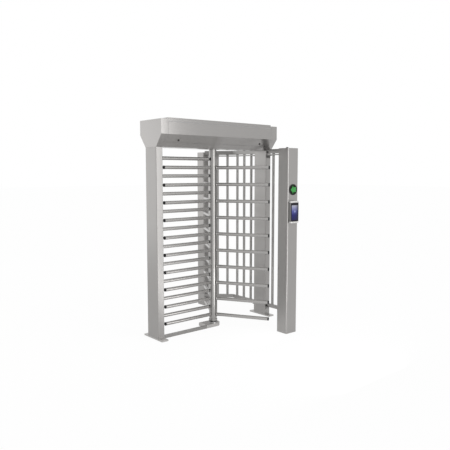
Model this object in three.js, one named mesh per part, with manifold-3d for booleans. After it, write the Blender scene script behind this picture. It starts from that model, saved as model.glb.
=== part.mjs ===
// Full height turnstile: three wings of tubes turn on a column between a fixed comb and a cage.
// Millimetres, +Z up. The origin is the rotor's axis on the floor, X runs along the head case,
// and the side with the pass indicator faces -Y.
import * as THREE from 'three';
import { mergeVertices } from 'three/addons/utils/BufferGeometryUtils.js';
import Module from 'manifold-3d';

const wasm = await Module();
wasm.setup();

// General fits and fineness
const clearance = 0.3;
const overrun = 20;
const mergeDistance = 0.0001;
const tubeSides = 12;
const roundSides = 24;
const cornerSteps = 4;

// Head case: a folded sheet box whose lower half narrows to the depth of the posts
const caseLength = 1640;
const caseDepth = 400;
const caseHeight = 280;
const fasciaHeight = 152;
const undersideHeight = 2020;
const sheet = 2;
const lidInset = 12;
const lidRise = 15;
const lidOpeningInset = 30;

// Access door, its hinge and its key locks
const doorEndMargin = 10;
const doorTopInset = 26;
const doorBottomRise = 48;
const doorGap = 1.5;
const hingePinDiameter = 4;
const lockInset = 161;
const lockRise = 72;
const lockDiameter = 19;
const lockFaceDiameter = 24;
const lockFaceThickness = 3;
const lockCamLength = 46;
const lockCamWidth = 14;
const lockCamThickness = 3;
const lockCamGap = 1.5;

// Posts under the head case, and their plates on the floor
const postWidth = 80;
const postDepth = 200;
const postWall = 3;
const postCorner = 6;
const plateDepth = 346;
const plateThickness = 16;
const anchorHoleDiameter = 14;
const anchorHoleInset = 32;
const wireHoleDiameter = 40;

// Free-standing posts that end the cage
const frontPostWidth = 157;
const frontPostDepth = 149;
const frontPostInset = 320;
const frontPostY = -728;
const backPostWidth = 90;
const backPostDepth = 137;
const backPostInset = 247;
const backPostY = 862.5;
const endPostCorner = 12;
const endPostFootThickness = 10;
const endPostCableHole = 50;

// Fixed comb on the left post
const combFirstHeight = 227;
const combTipGap = 6;
const combStripWidth = 42;
const combStripThickness = 6;
const combStripOverhang = 40;

// Column and wings
const columnDiameter = 84;
const columnWall = 3;
const columnFloorGap = 58;
const collarDiameter = 98;
const collarHeight = 22;
const columnTopGap = 2;
const pivotDiameter = 40;
const pivotDepth = 48;
const wingCount = 3;
const armTopGap = 100;
const armDiameter = 38;
const armWall = 2;
const armPitch = 187;
const armFirstHeight = 131;
const armReach = 668;
const armPlug = 14;
const spineWidth = 26;
const spineThickness = 5;
const spineOverhang = 30;

// Shaft, head bearing and the plate that carries them
const shaftDiameter = 60;
const shaftPlugDepth = 50;
const shoulderDiameter = 80;
const shoulderHeight = 6;
const shaftTopLength = 20;
const shaftHoleDiameter = 72;
const gearPlateLength = 330;
const gearPlateMargin = 3;
const gearPlateThickness = 8;
const headBearingDiameter = 124;
const headBearingHeight = 34;

// Floor bearing and the tie bar to the left post
const bearingBaseLeft = 150;
const bearingBaseRight = 75;
const bearingBaseDepth = 150;
const bearingBaseHeight = 38;
const bearingBaseCorner = 74;
const bearingBaseSteps = 8;
const flangeDiameter = 112;
const flangeHeight = 10;
const sealDiameter = 90;
const tieWidth = 26;
const tieHeight = 35;
const tieWall = 3;

// Cage
const backCornerDistance = 537;
const frontCornerDistance = 397.5;
const railWidth = 25;
const railWall = 2;
const topRailSize = 50;
const topRailDrop = 33;
const bottomRailSize = 42;
const bottomRailHeight = 112;
const railEndGap = 12;
const barDiameter = 32;
const barWall = 2;
const barPitch = 130;
const barCornerGap = 78;
const barEndMargin = 80;
const barStripDrop = 22;
const barStripThickness = 13;
const barStripWidth = 50;
const bracketLength = 60;
const bracketReach = 34;
const bracketHeight = 32;
const bracketThickness = 5;

// Index disc, lock levers, solenoids and control box inside the head case
const discDiameter = 170;
const discThickness = 12;
const notchCount = 12;
const notchWidth = 13;
const notchDepth = 15;
const leverReach = 62;
const leverTailReach = 40;
const leverSwingDegrees = 13;
const leverRestGap = 3;
const leverWidth = 16;
const leverThickness = 6;
const leverPinDiameter = 10;
const bossDiameter = 22;
const leverPivotDiameter = 12;
const leverPivotRise = 5;
const solenoidWidth = 42;
const solenoidLength = 56;
const solenoidHeight = 34;
const solenoidSetback = 34;
const solenoidFootInset = 7;
const plungerDiameter = 9;
const plungerOverlap = 9;
const plungerInside = 30;
const controlBoxLength = 220;
const controlBoxDepth = 150;
const controlBoxHeight = 60;
const controlBoxInset = 320;

// Pass indicator and access terminal on the front post
const indicatorDiameter = 118;
const indicatorDepth = 8;
const indicatorRim = 8;
const indicatorSetback = 2;
const indicatorHeight = 1577;
const lensDepth = 4;
const terminalWidth = 124;
const terminalHeight = 238;
const terminalDrop = 358;
const terminalDepth = 50;
const terminalBackDepth = 20;
const terminalBackInset = 5;
const terminalCorner = 14;
const terminalSideInset = 3.5;
const screenSideInset = 7;
const screenEndInset = 20;
const screenDepth = 3;

// Places that follow from the sizes above
const caseTop = undersideHeight + caseHeight;
const kneeHeight = caseTop - fasciaHeight;
const slopeRise = kneeHeight - undersideHeight;
const slopeRun = (caseDepth - postDepth) / 2;
const slopeLength = Math.hypot(slopeRise, slopeRun);
const bayHalf = caseLength / 2 - postWidth;
const doorHalf = bayHalf - doorEndMargin;
const doorTop = caseTop - doorTopInset;
const doorBottom = undersideHeight + doorBottomRise;
const hingeSlot = hingePinDiameter / 2 + clearance;
const lockDepth = sheet + lockCamGap + lockCamThickness;
const cageX = bayHalf + postWidth / 2;
const frontPostX = cageX - frontPostInset;
const backPostX = cageX - backPostInset;
const topRailHeight = undersideHeight - topRailDrop;
const barStripHeight = topRailHeight - barStripDrop;
const columnRadius = columnDiameter / 2;
const columnTop = undersideHeight - columnTopGap;
const armCount = Math.floor((undersideHeight - armTopGap - armFirstHeight) / armPitch) + 1;
const combCount = Math.floor((undersideHeight - armTopGap - combFirstHeight) / armPitch) + 1;
const armLastHeight = armFirstHeight + armPitch * (armCount - 1);
const combLastHeight = combFirstHeight + armPitch * (combCount - 1);
const sealFloor = bearingBaseHeight + flangeHeight;
const socketDiameter = pivotDiameter + 2 * clearance;
const bayFloor = undersideHeight + sheet;
const gearPlateTop = bayFloor + gearPlateThickness;
const headBearingTop = gearPlateTop + headBearingHeight;
const discFloor = headBearingTop + clearance + shoulderHeight;
const discTop = discFloor + discThickness;
const leverFloor = discTop + clearance;
const leverTop = leverFloor + leverThickness;
const halfSwing = THREE.MathUtils.degToRad(leverSwingDegrees) / 2;
const leverPinY = (discDiameter + leverPinDiameter) / 2 + leverRestGap;
const leverPivotX = leverReach * Math.cos(halfSwing);
const leverPivotY = leverPinY - leverReach * Math.sin(halfSwing);
const plungerY = leverPivotY - leverTailReach;
const plungerHeight = leverTop + clearance + plungerDiameter / 2;
const solenoidX = leverPivotX + solenoidSetback;
const controlBoxX = controlBoxInset - bayHalf;
const frontPostFace = frontPostY - frontPostDepth / 2;
const terminalFloor = indicatorHeight - terminalDrop;
const terminalX = frontPostX - frontPostWidth / 2 + terminalSideInset + terminalWidth / 2;

// Materials
function material(color, metalness, roughness) {
  return new THREE.MeshStandardMaterial({ color, metalness, roughness });
}
const stainless = material(0xb4b3b1, 1, 0.35);
const tubeSteel = material(0xa3a19f, 1, 0.28);
const darkSteel = material(0x55534f, 0.9, 0.5);
const zincSteel = material(0x9a9c9e, 0.9, 0.45);
const blackRubber = material(0x181818, 0, 0.7);
const blackPlastic = material(0x1d1e20, 0, 0.45);
const silverPlastic = material(0xb9b9b5, 0.3, 0.35);
const greenLens = material(0x27b93f, 0, 0.3);
const screenGlass = material(0x0b0d18, 0, 0.08);
const coilBlue = material(0x2c4d7d, 0, 0.5);

// A closed geometry as a solid that can be joined and cut
function solidOf(geometry) {
  const bare = geometry.clone();
  bare.deleteAttribute('normal');
  bare.deleteAttribute('uv');
  const merged = mergeVertices(bare, mergeDistance);
  const vertProperties = new Float32Array(merged.attributes.position.array);
  const triVerts = new Uint32Array(merged.index.array);
  return new wasm.Manifold(new wasm.Mesh({ numProp: 3, vertProperties, triVerts }));
}

// A solid back as a geometry with flat faces
function geometryOf(solid) {
  const mesh = solid.getMesh();
  const geometry = new THREE.BufferGeometry();
  geometry.setAttribute('position', new THREE.BufferAttribute(mesh.vertProperties, 3));
  geometry.setIndex(new THREE.BufferAttribute(mesh.triVerts, 1));
  const flat = geometry.toNonIndexed();
  flat.computeVertexNormals();
  return flat;
}

// A box between two corners
function box(low, high) {
  const size = high.map((value, axis) => value - low[axis]);
  const geometry = new THREE.BoxGeometry(...size);
  geometry.translate(...low.map((value, axis) => value + size[axis] / 2));
  return solidOf(geometry);
}

// A round rod between two points
function rod(diameter, start, end, sides = roundSides) {
  const from = new THREE.Vector3(...start);
  const along = new THREE.Vector3(...end).sub(from);
  const geometry = new THREE.CylinderGeometry(diameter / 2, diameter / 2, along.length(), sides);
  const turn = new THREE.Quaternion();
  turn.setFromUnitVectors(new THREE.Vector3(0, 1, 0), along.clone().normalize());
  geometry.applyQuaternion(turn);
  geometry.translate(...from.addScaledVector(along, 0.5).toArray());
  return solidOf(geometry);
}

// An outline of points in a plane, pulled from start to end along the third axis
function pulled(points, start, end, across, up, along) {
  const shape = new THREE.Shape(points.map(([x, y]) => new THREE.Vector2(x, y)));
  const geometry = new THREE.ExtrudeGeometry(shape, { depth: end - start, bevelEnabled: false });
  geometry.translate(0, 0, start);
  const [u, v, w] = [across, up, along].map((axis) => new THREE.Vector3(...axis));
  geometry.applyMatrix4(new THREE.Matrix4().makeBasis(u, v, w));
  return solidOf(geometry);
}

// Outlines of [x, y] points pulled up, of [y, z] points along X, and of [x, z] points towards -Y
function upright(points, floor, top) {
  return pulled(points, floor, top, [1, 0, 0], [0, 1, 0], [0, 0, 1]);
}
function lengthwise(points, start, end) {
  return pulled(points, start, end, [0, 1, 0], [0, 0, 1], [1, 0, 0]);
}
function frontward(points, back, front) {
  return pulled(points, -back, -front, [1, 0, 0], [0, 0, 1], [0, -1, 0]);
}

// A rectangle about a centre with round corners
function roundedOutline(centreX, centreY, width, height, radius, steps = cornerSteps) {
  const points = [];
  const corners = [[1, 1], [-1, 1], [-1, -1], [1, -1]];
  corners.forEach(([right, up], corner) => {
    for (let step = 0; step <= steps; step += 1) {
      const angle = ((corner + step / steps) * Math.PI) / 2;
      const x = centreX + right * (width / 2 - radius) + radius * Math.cos(angle);
      const y = centreY + up * (height / 2 - radius) + radius * Math.sin(angle);
      points.push([x, y]);
    }
  });
  return points;
}

// A body of revolution about Z from [radius, height] points that start and end on the axis
function turned(profile) {
  const points = profile.map(([radius, height]) => new THREE.Vector2(radius, height));
  const geometry = new THREE.LatheGeometry(points, roundSides);
  geometry.rotateX(Math.PI / 2);
  return solidOf(geometry);
}

// A flat ring about Z
function ring(outer, inner, floor, top) {
  const hole = rod(inner, [0, 0, floor - overrun], [0, 0, top + overrun]);
  return rod(outer, [0, 0, floor], [0, 0, top]).subtract(hole);
}

// The outline of a strip of one width along a bent line, with mitred corners
function stripOutline(line, width) {
  const points = line.map(([x, y]) => new THREE.Vector2(x, y));
  const sides = points.slice(1).map((point, i) => {
    const direction = point.clone().sub(points[i]).normalize();
    return new THREE.Vector2(-direction.y, direction.x);
  });
  const offsets = points.map((point, i) => {
    const before = sides[Math.max(i - 1, 0)];
    const after = sides[Math.min(i, sides.length - 1)];
    const middle = before.clone().add(after).normalize();
    return middle.multiplyScalar(width / 2 / middle.dot(before));
  });
  const left = points.map((point, i) => point.clone().add(offsets[i]).toArray());
  const right = points.map((point, i) => point.clone().sub(offsets[i]).toArray());
  return [...right, ...left.reverse()];
}

// The same solid on the other side of X = 0 or Y = 0
function mirrored(solid, axis) {
  const scale = [1, 1, 1];
  scale[axis] = -1;
  return solid.scale(scale);
}

// The head case's cross-section as [y, z] points, drawn in by a wall thickness
function caseOutline(inset) {
  const side = caseDepth / 2 - inset;
  const floor = undersideHeight + inset;
  const slopeShift = (inset * slopeLength) / slopeRise;
  const slopeY = (height) => postDepth / 2 + ((height - undersideHeight) * slopeRun) / slopeRise - slopeShift;
  const knee = undersideHeight + ((side + slopeShift - postDepth / 2) * slopeRise) / slopeRun;
  const half = [[slopeY(floor), floor], [side, knee], [side, caseTop - inset]];
  return [...half, ...half.map(([y, z]) => [-y, z]).reverse()];
}

// Head case: the middle trough between the two end caps, open at the door and under the lid
function makeCaseBay() {
  const outer = lengthwise(caseOutline(0), -bayHalf, bayHalf);
  const inner = lengthwise(caseOutline(sheet), sheet - bayHalf, bayHalf - sheet);
  const doorway = box(
    [-doorHalf - doorGap, -caseDepth, doorBottom - doorGap],
    [doorHalf + doorGap, 0, doorTop + hingeSlot],
  );
  const lidOpening = box(
    [lidOpeningInset - bayHalf, lidOpeningInset - caseDepth / 2, caseTop - overrun],
    [bayHalf - lidOpeningInset, caseDepth / 2 - lidOpeningInset, caseTop + overrun],
  );
  return outer.subtract(inner).subtract(doorway).subtract(lidOpening).subtract(shaftHole());
}
function shaftHole() {
  return rod(shaftHoleDiameter, [0, 0, undersideHeight - overrun], [0, 0, gearPlateTop + overrun]);
}

// Lid: a shallow tray turned over the bay's open top
function makeLid() {
  const x = bayHalf - lidInset;
  const y = caseDepth / 2 - lidInset;
  const tray = box([-x, -y, caseTop], [x, y, caseTop + lidRise]);
  const hollow = box([sheet - x, sheet - y, caseTop - overrun], [x - sheet, y - sheet, caseTop + lidRise - sheet]);
  return tray.subtract(hollow);
}

// End cap: a shell over a post that closes the bay's right end
function makeEndCap() {
  const outer = lengthwise(caseOutline(0), bayHalf, bayHalf + postWidth);
  const inner = lengthwise(caseOutline(sheet), bayHalf - overrun, bayHalf + postWidth - sheet);
  const x = bayHalf + postWidth / 2;
  const wireHole = rod(wireHoleDiameter, [x, 0, undersideHeight - overrun], [x, 0, undersideHeight + overrun]);
  return outer.subtract(inner).subtract(wireHole);
}

// A point on a lock's axis: depth is measured inwards, square to the door's slope
function lockPoint(x, depth) {
  const y = -postDepth / 2 - (lockRise * slopeRun) / slopeRise;
  const z = undersideHeight + lockRise;
  return [x, y + (depth * slopeRise) / slopeLength, z + (depth * slopeRun) / slopeLength];
}

// Access door: the bay's front wall below the hinge, folded along the knee
function makeDoor() {
  const outer = lengthwise(caseOutline(0), -doorHalf, doorHalf);
  const inner = lengthwise(caseOutline(sheet), -doorHalf - overrun, doorHalf + overrun);
  const span = box([-doorHalf, -caseDepth, doorBottom], [doorHalf, 0, doorTop - hingeSlot]);
  let door = outer.subtract(inner).intersect(span);
  for (const side of [-1, 1]) {
    const x = side * (bayHalf - lockInset);
    const hole = rod(lockDiameter + 2 * clearance, lockPoint(x, -overrun), lockPoint(x, overrun));
    door = door.subtract(hole);
  }
  return door;
}

// Hinge pin along the door's upper edge
function makeHingePin() {
  const y = (sheet - caseDepth) / 2;
  return rod(hingePinDiameter, [-doorHalf, y, doorTop], [doorHalf, y, doorTop], tubeSides);
}

// Key lock on the right: face, barrel and the cam that can turn down behind the bay's lip
function makeLock() {
  const x = bayHalf - lockInset;
  const faceFloor = -clearance;
  const face = rod(lockFaceDiameter, lockPoint(x, faceFloor - lockFaceThickness), lockPoint(x, faceFloor));
  const barrel = rod(lockDiameter, lockPoint(x, faceFloor - lockFaceThickness / 2), lockPoint(x, lockDepth));
  const corner = (depth, along) => {
    const [, y, z] = lockPoint(x, depth);
    return [y + (along * slopeRun) / slopeLength, z - (along * slopeRise) / slopeLength];
  };
  const camFloor = lockDepth - lockCamThickness;
  const half = lockCamWidth / 2;
  const section = [corner(camFloor, -half), corner(camFloor, half), corner(lockDepth, half), corner(lockDepth, -half)];
  return face.add(barrel).add(lengthwise(section, x - lockCamLength, x));
}

// Right post: a rectangular tube with round corners that stands on its floor plate
function makePost() {
  const x = bayHalf + postWidth / 2;
  const outline = roundedOutline(x, 0, postWidth, postDepth, postCorner);
  const inner = roundedOutline(
    x,
    0,
    postWidth - 2 * postWall,
    postDepth - 2 * postWall,
    postCorner - postWall,
  );
  const bore = upright(inner, plateThickness - overrun, undersideHeight + overrun);
  return upright(outline, plateThickness, undersideHeight).subtract(bore);
}

// Floor plate with an anchor hole at each end
function makePostPlate() {
  let plate = box([bayHalf, -plateDepth / 2, 0], [bayHalf + postWidth, plateDepth / 2, plateThickness]);
  for (const side of [-1, 1]) {
    const x = bayHalf + postWidth / 2;
    const y = side * (plateDepth / 2 - anchorHoleInset);
    plate = plate.subtract(rod(anchorHoleDiameter, [x, y, -overrun], [x, y, plateThickness + overrun]));
  }
  return plate;
}

// Free-standing post: a tube closed at the top, with a cable hole through its foot
function makeEndPost(x, y, width, depth) {
  const outline = roundedOutline(x, y, width, depth, endPostCorner);
  const inner = roundedOutline(x, y, width - 2 * postWall, depth - 2 * postWall, endPostCorner - postWall);
  const hollow = upright(inner, endPostFootThickness, undersideHeight - postWall);
  const cableHole = rod(endPostCableHole, [x, y, -overrun], [x, y, endPostFootThickness + overrun]);
  return upright(outline, 0, undersideHeight).subtract(hollow).subtract(cableHole);
}

// Hollow tubes along X, one above the other, that are open at the far end
function tubeRow(firstHeight, count, start, end) {
  const away = Math.sign(end - start);
  const tubes = [];
  for (let i = 0; i < count; i += 1) {
    const z = firstHeight + armPitch * i;
    const outer = rod(armDiameter, [start, 0, z], [end, 0, z], tubeSides);
    const boreStart = start + away * armPlug;
    const bore = rod(armDiameter - 2 * armWall, [boreStart, 0, z], [end + away * overrun, 0, z], tubeSides);
    tubes.push(outer.subtract(bore));
  }
  return tubes;
}

// Fixed comb: a strip on the left post with tubes that reach almost to the column
function makeComb() {
  const root = -bayHalf;
  const strip = box(
    [root, -combStripWidth / 2, combFirstHeight - combStripOverhang],
    [root + combStripThickness, combStripWidth / 2, combLastHeight + combStripOverhang],
  );
  const tip = -columnRadius - spineThickness - combTipGap;
  const tubes = tubeRow(combFirstHeight, combCount, root + combStripThickness / 2, tip);
  return tubes.reduce((comb, tube) => comb.add(tube), strip);
}

// Wing along +X: a spine hollowed to fit the column, with ten tubes
function makeWing() {
  const face = columnRadius + spineThickness;
  const spine = box(
    [0, -spineWidth / 2, armFirstHeight - spineOverhang],
    [face, spineWidth / 2, armLastHeight + spineOverhang],
  );
  const tubes = tubeRow(armFirstHeight, armCount, columnRadius / 2, armReach);
  const column = rod(columnDiameter + 2 * clearance, [0, 0, 0], [0, 0, undersideHeight]);
  return tubes.reduce((wing, tube) => wing.add(tube), spine).subtract(column);
}

// Column: a tube open at the top, whose closed foot has a collar and carries the pivot
function makeColumn() {
  const bore = columnRadius - columnWall;
  const pivot = pivotDiameter / 2;
  const collar = collarDiameter / 2;
  return turned([
    [0, columnFloorGap - pivotDepth],
    [pivot, columnFloorGap - pivotDepth],
    [pivot, columnFloorGap],
    [collar, columnFloorGap],
    [collar, columnFloorGap + collarHeight],
    [columnRadius, columnFloorGap + collarHeight],
    [columnRadius, columnTop],
    [bore, columnTop],
    [bore, columnFloorGap + columnWall],
    [0, columnFloorGap + columnWall],
  ]);
}

// Shaft: plugged into the column's top, up through the head bearing to the index disc
function makeShaft() {
  const plug = columnRadius - columnWall - clearance;
  const shaft = shaftDiameter / 2;
  const shoulder = shoulderDiameter / 2;
  return turned([
    [0, columnTop - shaftPlugDepth],
    [plug, columnTop - shaftPlugDepth],
    [plug, columnTop],
    [shaft, columnTop],
    [shaft, discFloor - shoulderHeight],
    [shoulder, discFloor - shoulderHeight],
    [shoulder, discFloor],
    [shaft, discFloor],
    [shaft, discTop + shaftTopLength],
    [0, discTop + shaftTopLength],
  ]);
}

// Index disc with a notch for every stop
function makeIndexDisc() {
  let disc = ring(discDiameter, shaftDiameter + 2 * clearance, discFloor, discTop);
  const rim = discDiameter / 2;
  const notch = box(
    [rim - notchDepth, -notchWidth / 2, discFloor - overrun],
    [rim + overrun, notchWidth / 2, discTop + overrun],
  );
  for (let i = 0; i < notchCount; i += 1) {
    disc = disc.subtract(notch.rotate([0, 0, (i * 360) / notchCount]));
  }
  return disc;
}

// Floor bearing base with the pivot's socket
function makeBearingBase() {
  const outline = roundedOutline(
    (bearingBaseRight - bearingBaseLeft) / 2,
    0,
    bearingBaseRight + bearingBaseLeft,
    bearingBaseDepth,
    bearingBaseCorner,
    bearingBaseSteps,
  );
  const leftHalf = box([-bearingBaseLeft, -bearingBaseDepth / 2, 0], [0, bearingBaseDepth / 2, bearingBaseHeight]);
  const socketFloor = columnFloorGap - pivotDepth - clearance;
  const socket = rod(socketDiameter, [0, 0, socketFloor], [0, 0, bearingBaseHeight + overrun]);
  return upright(outline, 0, bearingBaseHeight).add(leftHalf).subtract(socket);
}

// Tie bar: a rectangular tube on the floor from the left post's plate to the bearing base
function makeTieBar() {
  const front = -bearingBaseDepth / 2;
  const outer = box([-bayHalf, front, 0], [-bearingBaseLeft, front + tieWidth, tieHeight]);
  const inner = box(
    [-bayHalf - overrun, front + tieWall, tieWall],
    [overrun - bearingBaseLeft, front + tieWidth - tieWall, tieHeight - tieWall],
  );
  return outer.subtract(inner);
}

// Back and front cage: [x, y] line from the right post, round the corner, to an end post's face
function makeCageLine(side, cornerDistance, endFace) {
  const slant = Math.abs(endFace) - cornerDistance;
  return {
    side,
    face: endFace,
    start: [cageX, (side * postDepth) / 2],
    corner: [cageX, side * cornerDistance],
    end: [cageX - slant, endFace],
  };
}
const backLine = makeCageLine(1, backCornerDistance, backPostY - backPostDepth / 2);
const frontLine = makeCageLine(-1, frontCornerDistance, frontPostY + frontPostDepth / 2);

// Line from a gap before the right post's face to beyond the end post's face
function cagePath(line, startGap, beyond) {
  return [
    [line.start[0], line.start[1] + line.side * startGap],
    line.corner,
    [line.end[0] - beyond, line.end[1] + line.side * beyond],
  ];
}

// The space on the cage's side of an end post's face, less a gap
function cageSpace(line, gap) {
  const limit = line.face - line.side * gap;
  const far = cageX + caseDepth;
  const yRange = line.side > 0 ? [0, limit] : [limit, 0];
  return box([-far, yRange[0], 0], [far, yRange[1], caseTop]);
}

// Cage rail: a bent rectangular tube, whose end stays clear of the post and of the case's slope above it
function makeRail(line, floor, size) {
  const top = floor + size;
  const slopeReach = (Math.max(top - undersideHeight, 0) * slopeRun) / slopeRise;
  const gap = Math.max(railEndGap, slopeReach + clearance);
  const outer = upright(stripOutline(cagePath(line, gap, overrun), railWidth), floor, top);
  const innerPath = cagePath(line, gap - overrun, 2 * overrun);
  const inner = upright(stripOutline(innerPath, railWidth - 2 * railWall), floor + railWall, top - railWall);
  return outer.subtract(inner).intersect(cageSpace(line, clearance));
}

// Places of the upright bars: the same steps from the corner both ways
function barPlaces(line) {
  const places = [];
  const straight = Math.hypot(line.corner[0] - line.start[0], line.corner[1] - line.start[1]);
  const slanted = Math.hypot(line.corner[0] - line.end[0], line.corner[1] - line.end[1]);
  for (let along = barCornerGap; along < straight - barEndMargin; along += barPitch) {
    places.unshift([cageX, line.corner[1] - line.side * along]);
  }
  for (let along = barCornerGap; along < slanted - barEndMargin; along += barPitch) {
    const step = along * Math.SQRT1_2;
    places.push([cageX - step, line.corner[1] + line.side * step]);
  }
  return places;
}

// Thin strip under the top rail, which the bars pass through
function makeBarStrip(line) {
  const path = cagePath(line, clearance, overrun);
  let strip = upright(stripOutline(path, barStripWidth), barStripHeight, barStripHeight + barStripThickness);
  for (const [x, y] of barPlaces(line)) {
    const top = barStripHeight + barStripThickness + overrun;
    const hole = rod(barDiameter + 2 * clearance, [x, y, barStripHeight - overrun], [x, y, top], tubeSides);
    strip = strip.subtract(hole);
  }
  const bracketGap = line === backLine ? bracketThickness : 0;
  return strip.intersect(cageSpace(line, bracketGap + clearance));
}

// Upright bar between the rails
function makeBar([x, y]) {
  const floor = bottomRailHeight + bottomRailSize;
  const bore = rod(
    barDiameter - 2 * barWall,
    [x, y, floor - overrun],
    [x, y, topRailHeight + overrun],
    tubeSides,
  );
  return rod(barDiameter, [x, y, floor], [x, y, topRailHeight], tubeSides).subtract(bore);
}

// Angle bracket: one leg down a post's face, the other under a rail or the strip
function makeBracket(x, face, away, shelfTop) {
  const span = (reach) => [face, face + away * reach].sort((a, b) => a - b);
  const [legLow, legHigh] = span(bracketThickness);
  const [shelfLow, shelfHigh] = span(bracketReach);
  const left = x - bracketLength / 2;
  const right = x + bracketLength / 2;
  const leg = box([left, legLow, shelfTop - bracketHeight], [right, legHigh, shelfTop]);
  const shelf = box([left, shelfLow, shelfTop - bracketThickness], [right, shelfHigh, shelfTop]);
  return leg.add(shelf);
}

// Mechanism plate on the bay's floor, with a boss and a pivot for each lever
function makeGearPlate() {
  const half = postDepth / 2 - gearPlateMargin;
  let plate = box(
    [-gearPlateLength / 2, -half, bayFloor],
    [gearPlateLength / 2, half, gearPlateTop],
  );
  for (const side of [-1, 1]) {
    const [x, y] = [leverPivotX, side * leverPivotY];
    const boss = rod(bossDiameter, [x, y, bayFloor], [x, y, discTop]);
    const pivot = rod(leverPivotDiameter, [x, y, bayFloor], [x, y, leverTop + leverPivotRise]);
    plate = plate.add(boss).add(pivot);
  }
  return plate.subtract(shaftHole());
}

// Lock lever on the +Y side: an angled flat bar with the pin that drops into a notch
function makeLever() {
  const line = [[0, leverPinY], [leverPivotX, leverPivotY], [leverPivotX, plungerY]];
  const bar = upright(stripOutline(line, leverWidth), leverFloor, leverTop);
  const hub = rod(bossDiameter, [leverPivotX, leverPivotY, leverFloor], [leverPivotX, leverPivotY, leverTop]);
  const pinHead = rod(leverWidth, [0, leverPinY, leverFloor], [0, leverPinY, leverTop]);
  const pin = rod(leverPinDiameter, [0, leverPinY, discFloor], [0, leverPinY, leverTop]);
  const hole = rod(
    leverPivotDiameter + 2 * clearance,
    [leverPivotX, leverPivotY, leverFloor - overrun],
    [leverPivotX, leverPivotY, leverTop + overrun],
  );
  return bar.add(hub).add(pinHead).add(pin).subtract(hole);
}

// Solenoid on the +Y side: a coil block on a foot, bored through for its plunger
function makeSolenoid() {
  const low = [solenoidX, plungerY - solenoidWidth / 2, plungerHeight - solenoidHeight / 2];
  const high = [solenoidX + solenoidLength, plungerY + solenoidWidth / 2, plungerHeight + solenoidHeight / 2];
  const foot = box(
    [low[0] + solenoidFootInset, low[1] + solenoidFootInset, gearPlateTop],
    [high[0] - solenoidFootInset, high[1] - solenoidFootInset, plungerHeight],
  );
  const bore = rod(
    plungerDiameter + 2 * clearance,
    [low[0] - overrun, plungerY, plungerHeight],
    [high[0] + overrun, plungerY, plungerHeight],
  );
  return box(low, high).add(foot).subtract(bore);
}

// Plunger on the +Y side, from over the lever's tail into the solenoid
function makePlunger() {
  return rod(
    plungerDiameter,
    [leverPivotX - plungerOverlap, plungerY, plungerHeight],
    [solenoidX + plungerInside, plungerY, plungerHeight],
  );
}

// Control box on the bay's floor
function makeControlBox() {
  return box(
    [controlBoxX - controlBoxLength / 2, -controlBoxDepth / 2, bayFloor],
    [controlBoxX + controlBoxLength / 2, controlBoxDepth / 2, bayFloor + controlBoxHeight],
  );
}

// Pass indicator: a bezel dish with a lens set in it
function indicatorRod(diameter, depthFrom, depthTo) {
  const point = (depth) => [frontPostX, frontPostFace - depth, indicatorHeight];
  return rod(diameter, point(depthFrom), point(depthTo));
}
function makeIndicatorBezel() {
  const recessFloor = indicatorDepth - indicatorSetback - lensDepth;
  const recess = indicatorRod(indicatorDiameter - 2 * indicatorRim, recessFloor, indicatorDepth + overrun);
  return indicatorRod(indicatorDiameter, 0, indicatorDepth).subtract(recess);
}
function makeIndicatorLens() {
  const diameter = indicatorDiameter - 2 * indicatorRim - 2 * clearance;
  const top = indicatorDepth - indicatorSetback;
  return indicatorRod(diameter, top - lensDepth, top);
}

// Terminal: back housing, front frame and the screen set in it
function terminalLayer(sideInset, endInset, depthFrom, depthTo) {
  const outline = roundedOutline(
    terminalX,
    terminalFloor + terminalHeight / 2,
    terminalWidth - 2 * sideInset,
    terminalHeight - 2 * endInset,
    terminalCorner,
  );
  return frontward(outline, frontPostFace - depthFrom, frontPostFace - depthTo);
}
function makeTerminalBack() {
  return terminalLayer(terminalBackInset, terminalBackInset, 0, terminalBackDepth);
}
function makeTerminalFrame() {
  const recessFloor = terminalDepth - screenDepth;
  const recess = terminalLayer(screenSideInset, screenEndInset, recessFloor, terminalDepth + overrun);
  return terminalLayer(0, 0, terminalBackDepth, terminalDepth).subtract(recess);
}
function makeTerminalScreen() {
  const sideInset = screenSideInset + clearance;
  const endInset = screenEndInset + clearance;
  return terminalLayer(sideInset, endInset, terminalDepth - screenDepth, terminalDepth);
}

// The whole object
const turnstile = new THREE.Group();

// Add a named piece made of one solid to a group
function addPiece(group, name, solid, finish) {
  const mesh = new THREE.Mesh(geometryOf(solid), finish);
  mesh.name = name;
  group.add(mesh);
  return mesh;
}

// Frame: posts, plates and head case
const post = makePost();
const postPlate = makePostPlate();
const endCap = makeEndCap();
addPiece(turnstile, 'left_post', mirrored(post, 0), stainless);
addPiece(turnstile, 'right_post', post, stainless);
addPiece(turnstile, 'left_base_plate', mirrored(postPlate, 0), stainless);
addPiece(turnstile, 'right_base_plate', postPlate, stainless);
const frontPost = makeEndPost(frontPostX, frontPostY, frontPostWidth, frontPostDepth);
const backPost = makeEndPost(backPostX, backPostY, backPostWidth, backPostDepth);
addPiece(turnstile, 'front_post', frontPost, stainless);
addPiece(turnstile, 'back_post', backPost, stainless);
addPiece(turnstile, 'case_bay', makeCaseBay(), stainless);
addPiece(turnstile, 'left_end_cap', mirrored(endCap, 0), stainless);
addPiece(turnstile, 'right_end_cap', endCap, stainless);
addPiece(turnstile, 'lid', makeLid(), stainless);

// Access door, hinge and key locks
const lock = makeLock();
addPiece(turnstile, 'access_door', makeDoor(), stainless);
addPiece(turnstile, 'door_hinge_pin', makeHingePin(), zincSteel);
addPiece(turnstile, 'right_door_lock', lock, zincSteel);
addPiece(turnstile, 'left_door_lock', mirrored(lock, 0), zincSteel);

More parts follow.
